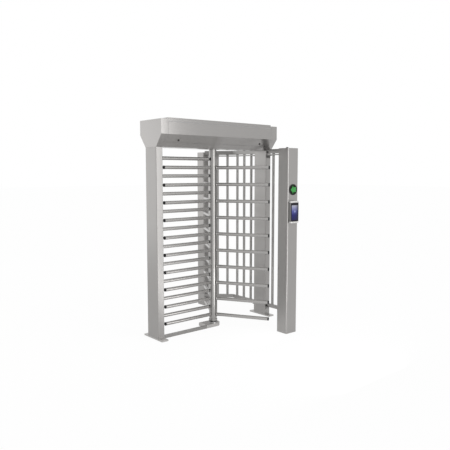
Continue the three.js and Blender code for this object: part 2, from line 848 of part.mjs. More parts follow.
// Fixed comb and floor bearing
addPiece(turnstile, 'barrier_comb', makeComb(), tubeSteel);
addPiece(turnstile, 'tie_bar', makeTieBar(), stainless);
addPiece(turnstile, 'bearing_base', makeBearingBase(), stainless);
addPiece(turnstile, 'bearing_flange', ring(flangeDiameter, socketDiameter, bearingBaseHeight, sealFloor), zincSteel);
const sealTop = columnFloorGap - clearance;
addPiece(turnstile, 'bearing_seal', ring(sealDiameter, socketDiameter, sealFloor, sealTop), blackRubber);

// Cage behind and in front
for (const [side, line] of [['back', backLine], ['front', frontLine]]) {
  addPiece(turnstile, `${side}_top_rail`, makeRail(line, topRailHeight, topRailSize), stainless);
  addPiece(turnstile, `${side}_bar_strip`, makeBarStrip(line), stainless);
  addPiece(turnstile, `${side}_bottom_rail`, makeRail(line, bottomRailHeight, bottomRailSize), stainless);
  barPlaces(line).forEach((place, i) => {
    addPiece(turnstile, `${side}_bar_${i + 1}`, makeBar(place), tubeSteel);
  });
  for (const [level, shelfTop] of [['top', barStripHeight], ['bottom', bottomRailHeight]]) {
    const bracket = makeBracket(cageX, line.start[1], line.side, shelfTop);
    addPiece(turnstile, `${side}_${level}_bracket`, bracket, darkSteel);
  }
}
for (const [level, shelfTop] of [['top', topRailHeight], ['bottom', bottomRailHeight]]) {
  const bracket = makeBracket(backLine.end[0], backLine.face, -1, shelfTop);
  addPiece(turnstile, `end_${level}_bracket`, bracket, darkSteel);
}

// Rotor
const rotor = new THREE.Group();
turnstile.add(rotor);
addPiece(rotor, 'rotor_column', makeColumn(), tubeSteel);
addPiece(rotor, 'rotor_shaft', makeShaft(), zincSteel);
addPiece(rotor, 'index_disc', makeIndexDisc(), zincSteel);
const wing = makeWing();
for (let i = 0; i < wingCount; i += 1) {
  const mesh = addPiece(rotor, `wing_${i + 1}`, wing, tubeSteel);
  mesh.rotation.z = Math.PI + (i * 2 * Math.PI) / wingCount;
}

// Mechanism in the head case
addPiece(turnstile, 'gear_plate', makeGearPlate(), zincSteel);
const bearingBore = shaftDiameter + 2 * clearance;
const headBearing = ring(headBearingDiameter, bearingBore, gearPlateTop, headBearingTop);
addPiece(turnstile, 'head_bearing', headBearing, zincSteel);
const directions = [['entry', (solid) => solid], ['exit', (solid) => mirrored(solid, 1)]];
for (const [direction, onSide] of directions) {
  addPiece(turnstile, `${direction}_lock_lever`, onSide(makeLever()), zincSteel);
  addPiece(turnstile, `${direction}_solenoid`, onSide(makeSolenoid()), coilBlue);
  addPiece(turnstile, `${direction}_plunger`, onSide(makePlunger()), zincSteel);
}
addPiece(turnstile, 'control_box', makeControlBox(), blackPlastic);

// Pass indicator and terminal
addPiece(turnstile, 'indicator_bezel', makeIndicatorBezel(), blackPlastic);
addPiece(turnstile, 'indicator_lens', makeIndicatorLens(), greenLens);
addPiece(turnstile, 'terminal_back', makeTerminalBack(), blackPlastic);
addPiece(turnstile, 'terminal_frame', makeTerminalFrame(), silverPlastic);
addPiece(turnstile, 'terminal_screen', makeTerminalScreen(), screenGlass);

export default turnstile;
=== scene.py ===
"""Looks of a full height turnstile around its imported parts. Metres, with +Z up."""
import math

import bmesh
import bpy
from mathutils import Matrix, Vector


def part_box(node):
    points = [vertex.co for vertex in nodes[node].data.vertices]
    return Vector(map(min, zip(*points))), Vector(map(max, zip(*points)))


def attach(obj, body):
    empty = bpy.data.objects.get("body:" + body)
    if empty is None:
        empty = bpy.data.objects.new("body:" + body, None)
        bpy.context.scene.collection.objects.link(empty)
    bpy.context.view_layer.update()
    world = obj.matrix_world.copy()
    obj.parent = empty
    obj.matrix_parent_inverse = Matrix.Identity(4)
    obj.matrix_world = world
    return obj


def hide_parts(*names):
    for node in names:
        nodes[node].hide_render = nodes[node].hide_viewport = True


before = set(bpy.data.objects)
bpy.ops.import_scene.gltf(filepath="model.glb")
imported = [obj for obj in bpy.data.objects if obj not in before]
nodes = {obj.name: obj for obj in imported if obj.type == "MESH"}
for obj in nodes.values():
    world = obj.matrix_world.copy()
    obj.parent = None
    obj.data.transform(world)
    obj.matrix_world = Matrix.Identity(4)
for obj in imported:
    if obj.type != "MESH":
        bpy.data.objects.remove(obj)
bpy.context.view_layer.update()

# Camera of the photograph
CAMERA_PLACE = (-3.867, -4.792, 1.762)
CAMERA_TURN = (84.451, 0.0, -40.193)
CAMERA_LENS = 43.379
CAMERA_SENSOR = 36.0

# Sizes shared with the solids
ARM_RADIUS = 0.019
ARM_PITCH = 0.187
ARM_COUNT = 10
WING_FIRST = 0.131
WING_REACH = 0.668
WING_ANGLES = (180, 300, 60)
WING_CAP_DEPTH = 0.012
SPINE_FACE = 0.047
SPINE_INNER = 0.0424
SPINE_HALF = 0.013
SPINE_BOTTOM = 0.101
SPINE_TOP = 1.844
COMB_FIRST = 0.227
COMB_ROOT = -0.740
COMB_TIP = -0.053
COMB_CAP_DEPTH = 0.014
COMB_STRIP = 0.006
COMB_STRIP_HALF = 0.021
COMB_STRIP_BOTTOM = 0.187
COMB_STRIP_TOP = 1.950
COLUMN_RADIUS = 0.042
COLUMN_BORE = 0.039
COLUMN_BORE_DEPTH = 0.06
COLUMN_BOTTOM = 0.058
COLUMN_TOP = 2.018
COLLAR_RADIUS = 0.049
COLLAR_TOP = 0.080
PIVOT_RADIUS = 0.020
PIVOT_BOTTOM = 0.010
BEARING_BORE = 0.0205
POST_WALL = 0.003
POST_CORNER = 0.006
END_POST_CORNER = 0.012
CASE_FLOOR = 2.020
CASE_FLOOR_HALF = 0.100
SLOPE_OUT = 0.100
SLOPE_RISE = 0.128
LOCK_X = 0.579
LOCK_RISE = 0.072
ANCHOR_Y = 0.141

# Sizes that only the looks have. GAP keeps pieces that meet from sharing a face.
SIDES = 32
FINE_SIDES = 64
GAP = 0.0001
POST_RIM = 0.0006
SHOULDER = 0.0012
TUBE_CHAMFER = 0.0004


# Mesh building
def place_at(origin, direction):
    """A frame at origin whose Z points along direction."""
    turn = Vector(direction).to_track_quat("Z", "Y").to_matrix().to_4x4()
    return Matrix.Translation(Vector(origin)) @ turn


def skin(bm, rings, closed=False):
    """Joins rings of points into faces. A ring of one point closes to it."""
    made = [[bm.verts.new(point) for point in ring] for ring in rings]
    pairs = list(zip(made, made[1:]))
    if closed:
        pairs.append((made[-1], made[0]))
    for lower, upper in pairs:
        count = max(len(lower), len(upper))
        if count == 1:
            continue
        for i in range(count):
            j = (i + 1) % count
            if len(lower) == 1:
                bm.faces.new((lower[0], upper[j], upper[i]))
            elif len(upper) == 1:
                bm.faces.new((lower[i], lower[j], upper[0]))
            else:
                bm.faces.new((lower[i], lower[j], upper[j], upper[i]))
    if not closed:
        for ring in (made[0], made[-1]):
            if len(ring) > 2:
                bm.faces.new(ring)


def circle(radius, height, sides):
    if radius == 0:
        return [Vector((0, 0, height))]
    step = 2 * math.pi / sides
    angles = [step * i for i in range(sides)]
    return [Vector((radius * math.cos(angle), radius * math.sin(angle), height)) for angle in angles]


def lathe(bm, place, profile, sides=SIDES, closed=False):
    """Turns (radius, height) points about the Z of place."""
    rings = [[place @ point for point in circle(r, h, sides)] for r, h in profile]
    skin(bm, rings, closed)


def outline(low, high, radii, crown=0.0, steps=6):
    """(x, y) points of a rectangle with rounded corners. Radii start at the low x, low y corner."""
    (x0, y0), (x1, y1) = low, high
    corners = ((x0, y0, 180), (x1, y0, 270), (x1, y1, 0), (x0, y1, 90))
    inward = ((1, 1), (-1, 1), (-1, -1), (1, -1))
    points = []
    for (x, y, start), (ix, iy), radius in zip(corners, inward, radii):
        for i in range(steps + 1):
            angle = math.radians(start + 90 * i / steps)
            across = x + ix * radius + radius * math.cos(angle)
            along = y + iy * radius + radius * math.sin(angle)
            points.append((across, along))
    if not crown:
        return points
    # The low y side bulges, so its ends fall back by the crown
    middle = (x0 + x1) / 2
    half = (x1 - x0) / 2
    bent = []
    for x, y in points:
        depth = (y1 - y) / (y1 - y0)
        bent.append((x, y + crown * depth * ((x - middle) / half) ** 2))
    return bent


def level(points, z):
    return [Vector((x, y, z)) for x, y in points]


def shrunk(low, high, inset):
    return (low[0] + inset, low[1] + inset), (high[0] - inset, high[1] - inset)


def bar(bm, low, high, radius, steps=2):
    """A box with softened edges between two corners."""
    (x0, y0, z0), (x1, y1, z1) = low, high
    edge = []
    for i in range(steps + 1):
        angle = math.radians(90 * i / steps)
        inset = radius * (1 - math.sin(angle))
        drop = radius * (1 - math.cos(angle))
        edge.append((inset, drop))
    lower = [(inset, z0 + drop) for inset, drop in edge]
    upper = [(inset, z1 - drop) for inset, drop in reversed(edge)]
    loops = []
    for inset, z in lower + upper:
        corner = max(radius * 1.5 - inset, radius * 0.5)
        points = outline(*shrunk((x0, y0), (x1, y1), inset), (corner,) * 4, steps=steps)
        loops.append(level(points, z))
    skin(bm, loops)


def settle(name, bm, body, material, replaced=(), sharp=35):
    """Turns the mesh into a named object that rides on a body."""
    bmesh.ops.recalc_face_normals(bm, faces=bm.faces)
    mesh = bpy.data.meshes.new(name)
    bm.to_mesh(mesh)
    bm.free()
    mesh.materials.append(material)
    for face in mesh.polygons:
        face.use_smooth = True
    mesh.set_sharp_from_angle(angle=math.radians(sharp))
    piece = bpy.data.objects.new(name, mesh)
    bpy.context.scene.collection.objects.link(piece)
    weighted = piece.modifiers.new("weighted_normals", "WEIGHTED_NORMAL")
    weighted.keep_sharp = True
    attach(piece, body)
    if replaced:
        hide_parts(*replaced)


# Material building
def shader(name):
    material = bpy.data.materials.new(name)
    material.use_nodes = True
    tree = material.node_tree
    return material, tree, tree.nodes["Principled BSDF"]


def add(tree, kind, **values):
    node = tree.nodes.new(kind)
    for key, value in values.items():
        setattr(node, key, value)
    return node


def noise(tree, vector, scale, detail, roughness):
    node = add(tree, "ShaderNodeTexNoise")
    node.inputs["Scale"].default_value = scale
    node.inputs["Detail"].default_value = detail
    node.inputs["Roughness"].default_value = roughness
    tree.links.new(vector, node.inputs["Vector"])
    return node.outputs["Fac"]


def spread(tree, value, low, high, start=0.3, end=0.7):
    """Maps a value from start to end onto low to high."""
    node = add(tree, "ShaderNodeMapRange")
    ends = (("From Min", start), ("From Max", end), ("To Min", low), ("To Max", high))
    for socket, number in ends:
        node.inputs[socket].default_value = number
    tree.links.new(value, node.inputs["Value"])
    return node.outputs["Result"]


def combine(tree, operation, first, second):
    node = add(tree, "ShaderNodeMath", operation=operation)
    for socket, value in zip(node.inputs, (first, second)):
        if isinstance(value, (int, float)):
            socket.default_value = value
        else:
            tree.links.new(value, socket)
    return node.outputs["Value"]


def tint(tree, factor, dark, light, blend="MIX"):
    """Mixes two colours or colour sockets by a factor."""
    node = add(tree, "ShaderNodeMix", data_type="RGBA", blend_type=blend)
    # The colour sockets come after the number and vector ones of the same name
    colours = [socket for socket in node.inputs if socket.type == "RGBA"]
    for socket, colour in zip(colours, (dark, light)):
        if isinstance(colour, tuple):
            socket.default_value = (*colour, 1)
        else:
            tree.links.new(colour, socket)
    factors = [socket for socket in node.inputs if socket.type == "VALUE"]
    tree.links.new(factor, factors[0])
    return [socket for socket in node.outputs if socket.type == "RGBA"][0]


def scaled(colour, factor):
    return tuple(min(1.0, channel * factor) for channel in colour)


def object_place(tree, stretch=(1, 1, 1), turn=0.0):
    """Object coordinates turned back by an angle about Z, then stretched."""
    coordinates = add(tree, "ShaderNodeTexCoord")
    turned = add(tree, "ShaderNodeMapping")
    turned.inputs["Rotation"].default_value = (0, 0, -math.radians(turn))
    stretched = add(tree, "ShaderNodeMapping")
    stretched.inputs["Scale"].default_value = stretch
    tree.links.new(coordinates.outputs["Object"], turned.inputs["Vector"])
    tree.links.new(turned.outputs["Vector"], stretched.inputs["Vector"])
    return stretched.outputs["Vector"]


EDGE_SAMPLES = 4
EDGE_COSINE = 0.80
FLAT_COSINE = 0.995


def edge_mask(tree, radius):
    """1 on edges and corners, 0 on flat places."""
    rounded = add(tree, "ShaderNodeBevel", samples=EDGE_SAMPLES)
    rounded.inputs["Radius"].default_value = radius
    flat = add(tree, "ShaderNodeNewGeometry")
    dot = add(tree, "ShaderNodeVectorMath", operation="DOT_PRODUCT")
    tree.links.new(rounded.outputs["Normal"], dot.inputs[0])
    tree.links.new(flat.outputs["Normal"], dot.inputs[1])
    return spread(tree, dot.outputs["Value"], 1.0, 0.0, EDGE_COSINE, FLAT_COSINE)


def bumped(tree, bsdf, height, strength, distance):
    node = add(tree, "ShaderNodeBump")
    node.inputs["Strength"].default_value = strength
    node.inputs["Distance"].default_value = distance
    tree.links.new(height, node.inputs["Height"])
    tree.links.new(node.outputs["Normal"], bsdf.inputs["Normal"])


STEEL_METALLIC = 0.88
CLOUD_SCALE = 4.0
CLOUD_SHADE = 0.012
SMEAR_SCALE = 23.0
SMEAR_ROUGHNESS = 0.006
GRAIN_ROUGHNESS = 0.02
GRAIN_STRENGTH = 0.1
GRAIN_DEPTH = 0.00003
EDGE_SHINE = 0.35
DARKEST = 0.55
LIGHTEST = 1.45


def brushed(name, colour, roughness, stretch, turn=0.0, edges=0.0, grain=0.03):
    """Brushed stainless steel with its grain along the least stretched axis."""
    material, tree, bsdf = shader(name)
    bsdf.inputs["Metallic"].default_value = STEEL_METALLIC
    fine = noise(tree, object_place(tree, stretch, turn), 1.0, 3.0, 0.5)
    plain = object_place(tree)
    cloud = noise(tree, plain, CLOUD_SCALE, 3.0, 0.5)
    smear = noise(tree, plain, SMEAR_SCALE, 4.0, 0.6)
    streaks = spread(tree, fine, -grain, grain)
    clouds = spread(tree, cloud, -CLOUD_SHADE, CLOUD_SHADE)
    factor = combine(tree, "ADD", combine(tree, "ADD", streaks, clouds), 0.5)
    if edges:
        worn = combine(tree, "MULTIPLY", edge_mask(tree, edges), EDGE_SHINE)
        factor = combine(tree, "ADD", factor, worn)
    shade = tint(tree, factor, scaled(colour, DARKEST), scaled(colour, LIGHTEST))
    tree.links.new(shade, bsdf.inputs["Base Color"])
    polish = spread(tree, fine, roughness - GRAIN_ROUGHNESS, roughness + GRAIN_ROUGHNESS)
    smears = spread(tree, smear, -SMEAR_ROUGHNESS, SMEAR_ROUGHNESS)
    tree.links.new(combine(tree, "ADD", polish, smears), bsdf.inputs["Roughness"])
    bumped(tree, bsdf, fine, GRAIN_STRENGTH, GRAIN_DEPTH)
    return material


MOULD_CLOUD_SCALE = 18.0
MOULD_TEXTURE_SHADE = 0.1
MOULD_TEXTURE_DEPTH = 0.0001
MOULD_SMOOTHER = 0.05
MOULD_ROUGHER = 0.07


def moulded(name, colour, roughness, scale, strength, metallic=0.0, variation=0.08, gloss=0.5):
    """Plastic, rubber or paint with a fine texture and faint clouds."""
    material, tree, bsdf = shader(name)
    bsdf.inputs["Metallic"].default_value = metallic
    bsdf.inputs["Specular IOR Level"].default_value = gloss
    plain = object_place(tree)
    fine = noise(tree, plain, scale, 3.0, 0.6)
    cloud = noise(tree, plain, MOULD_CLOUD_SCALE, 4.0, 0.6)
    specks = spread(tree, fine, -MOULD_TEXTURE_SHADE, MOULD_TEXTURE_SHADE)
    factor = combine(tree, "ADD", spread(tree, cloud, 0.3, 0.7), specks)
    shade = tint(tree, factor, scaled(colour, 1 - variation), scaled(colour, 1 + variation))
    tree.links.new(shade, bsdf.inputs["Base Color"])
    polish = spread(tree, cloud, roughness - MOULD_SMOOTHER, roughness + MOULD_ROUGHER)
    tree.links.new(polish, bsdf.inputs["Roughness"])
    bumped(tree, bsdf, fine, strength, MOULD_TEXTURE_DEPTH)
    return material


GLOW_PATCH_SCALE = 160.0
GLOW_BASE = (0.28, 0.42)
GLOW_LIGHT = (0.7, 1.3)
GLOW_ROUGHNESS = (0.2, 0.3)


def glowing(name, colour, strength):
    """A lit light-emitting diode behind a tinted dome."""
    material, tree, bsdf = shader(name)
    bsdf.inputs["Emission Strength"].default_value = strength
    patch = noise(tree, object_place(tree), GLOW_PATCH_SCALE, 2.0, 0.5)
    shade = tint(tree, patch, *(scaled(colour, factor) for factor in GLOW_BASE))
    tree.links.new(shade, bsdf.inputs["Base Color"])
    light = tint(tree, patch, *(scaled(colour, factor) for factor in GLOW_LIGHT))
    tree.links.new(light, bsdf.inputs["Emission Color"])
    tree.links.new(spread(tree, patch, *GLOW_ROUGHNESS), bsdf.inputs["Roughness"])
    return material


# Materials
STEEL = (0.338, 0.329, 0.321)
TUBE = (0.325, 0.318, 0.310)
ARM = (0.365, 0.357, 0.348)
PLATE = (0.445, 0.436, 0.425)
case_steel = brushed("case_steel", STEEL, 0.24, (4, 700, 700), edges=0.0016)
cap_steel = brushed("cap_steel", STEEL, 0.20, (700, 700, 4), edges=0.0016)
post_steel = brushed("post_steel", STEEL, 0.32, (800, 800, 4), edges=0.0016)
plate_steel = brushed("plate_steel", PLATE, 0.36, (600, 5, 600), edges=0.0016)
tie_steel = brushed("tie_steel", (0.27, 0.264, 0.257), 0.40, (5, 600, 600), edges=0.0016)
column_steel = brushed("column_steel", TUBE, 0.17, (700, 700, 6))
bar_steel = brushed("bar_steel", TUBE, 0.30, (700, 700, 6))
rail_steel = brushed("rail_steel", TUBE, 0.40, (40, 40, 800), edges=0.0012)
comb_steel = brushed("comb_steel", ARM, 0.22, (5, 800, 800))
wing_steel = [brushed(f"wing_steel_{i + 1}", ARM, 0.22, (5, 800, 800), turn=angle)
              for i, angle in enumerate(WING_ANGLES)]
weld_steel = brushed("weld_steel", (0.25, 0.245, 0.24), 0.42, (260, 260, 260), grain=0.2)
bracket_steel = moulded("bracket_steel", (0.13, 0.127, 0.122), 0.42, 700, 0.3, 0.5, 0.15)
foot_steel = moulded("foot_bracket_steel", (0.30, 0.295, 0.287), 0.42, 700, 0.3, 0.5, 0.12)
zinc = brushed("zinc_plate", (0.42, 0.42, 0.43), 0.38, (60, 60, 60), grain=0.12, edges=0.0012)
bright_steel = brushed("ground_steel", (0.50, 0.50, 0.50), 0.22, (300, 300, 300))
screw_steel = brushed("screw_steel", (0.20, 0.20, 0.20), 0.35, (400, 400, 400))
rubber = moulded("black_rubber", (0.012, 0.012, 0.012), 0.62, 1200, 0.3)
black_plastic = moulded("black_plastic", (0.018, 0.018, 0.019), 0.42, 1500, 0.25, gloss=0.15)
dark_grey = moulded("dark_grey_plastic", (0.075, 0.073, 0.072), 0.40, 1500, 0.2)
side_grey = moulded("side_grey_lacquer", (0.21, 0.205, 0.20), 0.36, 1200, 0.12, 0.5)
silver = moulded("silver_lacquer", (0.50, 0.495, 0.485), 0.34, 1200, 0.1, 0.3)
lock_dark = moulded("lock_face", (0.022, 0.021, 0.020), 0.38, 900, 0.15, 0.4)
coil = moulded("blue_coil_shell", (0.03, 0.08, 0.22), 0.45, 900, 0.2)
lens_black = moulded("smoked_lens", (0.010, 0.016, 0.009), 0.20, 400, 0.03, gloss=0.05)
diode_green = glowing("lit_diode", (0.055, 0.45, 0.085), 0.55)
diode_dark = moulded("unlit_diode", (0.010, 0.014, 0.007), 0.25, 400, 0.05, gloss=0.1)

# Carried-over CAD nodes take a finish, and modifiers soften their edges
WELD_REACH = 0.00001
FLAT_LIMIT = 0.5
EDGE_LIMIT = 32
LARGE_FACE_WEIGHT = 100


def dress(name, material, edge, steps=2):
    node = nodes[name]
    for slot in node.material_slots:
        slot.material = material
    weld = node.modifiers.new("weld", "WELD")
    weld.merge_threshold = WELD_REACH
    flat = node.modifiers.new("flat_faces", "DECIMATE")
    flat.decimate_type = "DISSOLVE"
    flat.angle_limit = math.radians(FLAT_LIMIT)
    if edge:
        bevel = node.modifiers.new("soft_edges", "BEVEL")
        bevel.width = edge
        bevel.segments = steps
        bevel.limit_method = "ANGLE"
        bevel.angle_limit = math.radians(EDGE_LIMIT)
        bevel.use_clamp_overlap = True
        bevel.harden_normals = True
        # Some large faces otherwise keep bent normals along their softened edges
        weighted = node.modifiers.new("weighted_normals", "WEIGHTED_NORMAL")
        weighted.weight = LARGE_FACE_WEIGHT


for name in ("case_bay", "lid", "access_door"):
    dress(name, case_steel, 0.0006)
for side in ("left", "right"):
    dress(f"{side}_end_cap", cap_steel, 0.0006)
    dress(f"{side}_base_plate", plate_steel, 0.0015)
dress("tie_bar", tie_steel, 0.0015)
dress("bearing_base", plate_steel, 0.002, 3)
for side in ("back", "front"):
    dress(f"{side}_top_rail", rail_steel, 0.0015)
    dress(f"{side}_bottom_rail", rail_steel, 0.0015)
    dress(f"{side}_bar_strip", rail_steel, 0.001)
for side in ("back", "front", "end"):
    dress(f"{side}_top_bracket", bracket_steel, 0.001)
    dress(f"{side}_bottom_bracket", foot_steel, 0.001)
dress("gear_plate", zinc, 0.0008)
dress("head_bearing", bright_steel, 0.001)
dress("index_disc", bright_steel, 0.0006)
dress("rotor_shaft", bright_steel, 0.0008)
for way in ("entry", "exit"):
    dress(f"{way}_lock_lever", zinc, 0.0006)
    dress(f"{way}_solenoid", coil, 0.001)
    dress(f"{way}_plunger", bright_steel, 0.0005)
dress("control_box", dark_grey, 0.002, 3)
dress("door_hinge_pin", bright_steel, 0)
dress("terminal_back", dark_grey, 0.0015)


# Posts
def make_post(name, radius, closed_top=False):
    lo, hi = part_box(name)
    low, high = (lo.x, lo.y), (hi.x, hi.y)
    outer = outline(low, high, (radius,) * 4)
    rim = outline(*shrunk(low, high, POST_RIM), (radius - POST_RIM,) * 4)
    rings = [level(rim, lo.z), level(outer, lo.z + POST_RIM),
             level(outer, hi.z - POST_RIM), level(rim, hi.z)]
    if not closed_top:
        inner = outline(*shrunk(low, high, POST_WALL), (radius - POST_WALL,) * 4)
        rings += [level(inner, hi.z), level(inner, lo.z)]
    bm = bmesh.new()
    skin(bm, rings, closed=not closed_top)
    settle(name + "_tube", bm, "frame", post_steel, (name,))


make_post("left_post", POST_CORNER)
make_post("right_post", POST_CORNER)
make_post("front_post", END_POST_CORNER, closed_top=True)
make_post("back_post", END_POST_CORNER, closed_top=True)

# The case posts are as wide as their plates, so their weld beads lie only along the two free faces
POST_BEAD = 0.004
POST_BEAD_BULGE = 0.62


def weld_line(bm, start, end, up, out):
    start, end, up, out = Vector(start), Vector(end), Vector(up), Vector(out)
    rings = []
    for at in (start, end):
        bulge = at + out * POST_BEAD * POST_BEAD_BULGE + up * POST_BEAD * POST_BEAD_BULGE
        rings.append([at, at + out * POST_BEAD, bulge, at + up * POST_BEAD])
    skin(bm, rings)


for side in ("left", "right"):
    lo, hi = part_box(f"{side}_post")
    bm = bmesh.new()
    for y, away in ((lo.y, -1), (hi.y, 1)):
        foot = y + away * GAP
        start = (lo.x + POST_CORNER, foot, lo.z)
        end = (hi.x - POST_CORNER, foot, lo.z)
        weld_line(bm, start, end, (0, 0, 1), (0, away, 0))
    settle(f"{side}_post_welds", bm, "frame", weld_steel)

# Tubes of the wings and the comb
ARM_BEAD = 0.0025
BAR_BEAD = 0.0028
BEAD_SLOPE = 0.55
CAP_DOME = 0.004
CAP_STEPS = 4
CAP_FLAT = 0.86
CAP_EDGE_RISE = 0.6
CAP_CROWN = 0.55
CAP_CROWN_DROP = 0.1
STRIP_EDGE = 0.001


def arm_profile(length):
    bulge = ARM_BEAD * BEAD_SLOPE
    return [(0, 0), (ARM_RADIUS + ARM_BEAD, 0), (ARM_RADIUS + bulge, bulge), (ARM_RADIUS, ARM_BEAD),
            (ARM_RADIUS, length - TUBE_CHAMFER), (ARM_RADIUS - TUBE_CHAMFER, length), (0, length)]


def cap_profile(depth):
    rim = depth - CAP_DOME
    flat = ARM_RADIUS * CAP_FLAT
    points = [(0, 0), (ARM_RADIUS, 0), (ARM_RADIUS, rim)]
    for i in range(1, CAP_STEPS + 1):
        angle = math.radians(90 * i / CAP_STEPS)
        across = flat + (ARM_RADIUS - flat) * math.cos(angle)
        points.append((across, rim + CAP_DOME * CAP_EDGE_RISE * math.sin(angle)))
    points.append((flat * CAP_CROWN, depth - CAP_DOME * CAP_CROWN_DROP))
    points.append((0, depth))
    return points


def tube_row(first, root_at, direction, length, cap_depth, tube_bm, cap_bm):
    """A column of tubes with end caps. root_at gives a tube's root at a height."""
    body_length = length - cap_depth
    for i in range(ARM_COUNT):
        place = place_at(root_at(first + ARM_PITCH * i), direction)
        lathe(tube_bm, place, arm_profile(body_length))
        tip = place @ Matrix.Translation((0, 0, body_length + GAP / 2))
        lathe(cap_bm, tip, cap_profile(cap_depth - GAP))


for number, (angle, steel) in enumerate(zip(WING_ANGLES, wing_steel), 1):
    turned = math.radians(angle)
    heading = Vector((math.cos(turned), math.sin(turned), 0))
    tubes, caps, spine = bmesh.new(), bmesh.new(), bmesh.new()
    tube_row(WING_FIRST, lambda z: heading * SPINE_FACE + Vector((0, 0, z)), heading,
             WING_REACH - SPINE_FACE, WING_CAP_DEPTH, tubes, caps)
    bar(spine, (SPINE_INNER, -SPINE_HALF, SPINE_BOTTOM), (SPINE_FACE, SPINE_HALF, SPINE_TOP), STRIP_EDGE)
    bmesh.ops.rotate(spine, verts=spine.verts, cent=(0, 0, 0), matrix=Matrix.Rotation(turned, 3, "Z"))
    settle(f"wing_{number}_tubes", tubes, "rotor", steel, (f"wing_{number}",))
    settle(f"wing_{number}_spine", spine, "rotor", column_steel)
    settle(f"wing_{number}_end_caps", caps, "rotor", black_plastic)

tubes, caps, strip = bmesh.new(), bmesh.new(), bmesh.new()
comb_start = COMB_ROOT + COMB_STRIP
tube_row(COMB_FIRST, lambda z: Vector((comb_start, 0, z)), (1, 0, 0),
         COMB_TIP - comb_start, COMB_CAP_DEPTH, tubes, caps)
bar(strip, (COMB_ROOT, -COMB_STRIP_HALF, COMB_STRIP_BOTTOM),
    (comb_start, COMB_STRIP_HALF, COMB_STRIP_TOP), STRIP_EDGE)
settle("comb_tubes", tubes, "frame", comb_steel, ("barrier_comb",))
settle("comb_strip", strip, "frame", bar_steel)
settle("comb_end_caps", caps, "frame", black_plastic)

# Rotor column with its collar and lower pivot
bm = bmesh.new()
lathe(bm, Matrix.Identity(4), [
    (0, PIVOT_BOTTOM), (PIVOT_RADIUS - 0.001, PIVOT_BOTTOM), (PIVOT_RADIUS, PIVOT_BOTTOM + 0.001),
    (PIVOT_RADIUS, COLUMN_BOTTOM), (COLLAR_RADIUS - SHOULDER, COLUMN_BOTTOM),
    (COLLAR_RADIUS, COLUMN_BOTTOM + SHOULDER), (COLLAR_RADIUS, COLLAR_TOP - SHOULDER),
    (COLLAR_RADIUS - SHOULDER, COLLAR_TOP), (COLUMN_RADIUS + 0.0006, COLLAR_TOP),
    (COLUMN_RADIUS, COLLAR_TOP + 0.0008), (COLUMN_RADIUS, COLUMN_TOP - SHOULDER),
    (COLUMN_RADIUS - SHOULDER, COLUMN_TOP), (COLUMN_BORE, COLUMN_TOP),
    (COLUMN_BORE, COLUMN_TOP - COLUMN_BORE_DEPTH), (0, COLUMN_TOP - COLUMN_BORE_DEPTH)], FINE_SIDES)
settle("rotor_column_tube", bm, "rotor", column_steel, ("rotor_column",))

# Upright bars of the cage, with a weld bead at each end
for side, count in (("back", 5), ("front", 4)):
    for number in range(1, count + 1):
        node = f"{side}_bar_{number}"
        lo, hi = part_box(node)
        radius = (hi.x - lo.x) / 2
        height = hi.z - lo.z
        centre = (lo + hi) / 2
        bulge = BAR_BEAD * BEAD_SLOPE
        bm = bmesh.new()
        lathe(bm, Matrix.Translation((centre.x, centre.y, lo.z)), [
            (0, 0), (radius + BAR_BEAD, 0), (radius + bulge, bulge), (radius, BAR_BEAD),
            (radius, height - BAR_BEAD), (radius + bulge, height - bulge),
            (radius + BAR_BEAD, height), (0, height)])
        settle(f"{node}_tube", bm, "frame", bar_steel, (node,))

# Floor bearing
lo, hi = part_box("bearing_flange")
radius = (hi.x - lo.x) / 2
bm = bmesh.new()
lathe(bm, Matrix.Identity(4), [
    (BEARING_BORE, lo.z), (radius - 0.0003, lo.z), (radius, lo.z + 0.0004),
    (radius, hi.z - 0.001), (radius - 0.001, hi.z), (BEARING_BORE, hi.z)], FINE_SIDES, closed=True)
settle("bearing_flange_ring", bm, "frame", bright_steel, ("bearing_flange",))

SEAL_GROOVE = 0.0014
lo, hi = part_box("bearing_seal")
radius = (hi.x - lo.x) / 2
bm = bmesh.new()
lathe(bm, Matrix.Identity(4), [
    (BEARING_BORE, lo.z), (radius - 0.0008, lo.z), (radius, lo.z + 0.0014), (radius, lo.z + 0.0030),
    (radius - SEAL_GROOVE, lo.z + 0.0044), (radius - SEAL_GROOVE, lo.z + 0.0056),
    (radius, lo.z + 0.0068), (radius - 0.0012, hi.z), (BEARING_BORE, hi.z)], FINE_SIDES, closed=True)
settle("bearing_seal_ring", bm, "frame", rubber, ("bearing_seal",))

